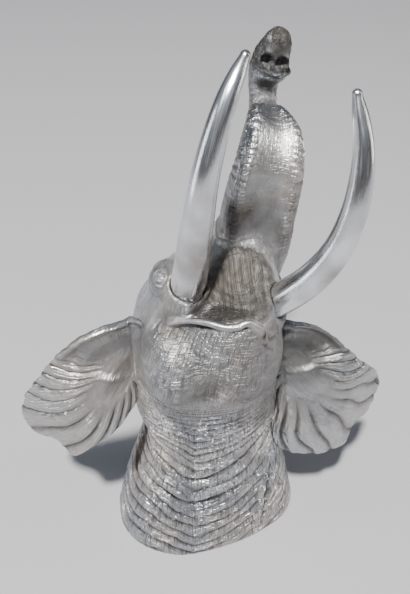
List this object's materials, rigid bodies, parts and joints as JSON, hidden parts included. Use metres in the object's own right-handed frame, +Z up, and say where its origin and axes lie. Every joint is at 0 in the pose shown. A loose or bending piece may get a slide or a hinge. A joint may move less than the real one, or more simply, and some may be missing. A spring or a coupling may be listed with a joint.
{
  "type": "aluminium elephant head sculpture",
  "caption": "Cast aluminium sculpture of a trumpeting elephant's head and neck, trunk raised, with two polished tusks.",
  "frame": {"origin": "on the flat underside of the neck, at the middle of its footprint", "axes": "+Z up, -Y the way the elephant's throat faces, +X towards the elephant's left ear"},
  "size_m": [0.5172, 0.2542, 0.7835],
  "materials": {
    "cast_aluminium": "cast, brushed and lightly polished",
    "polished_aluminium": "polished"
  },
  "bodies": {
    "root": {"head": "cast_aluminium", "tusk_right": "polished_aluminium", "tusk_left": "polished_aluminium"}
  },
  "joints": []
}
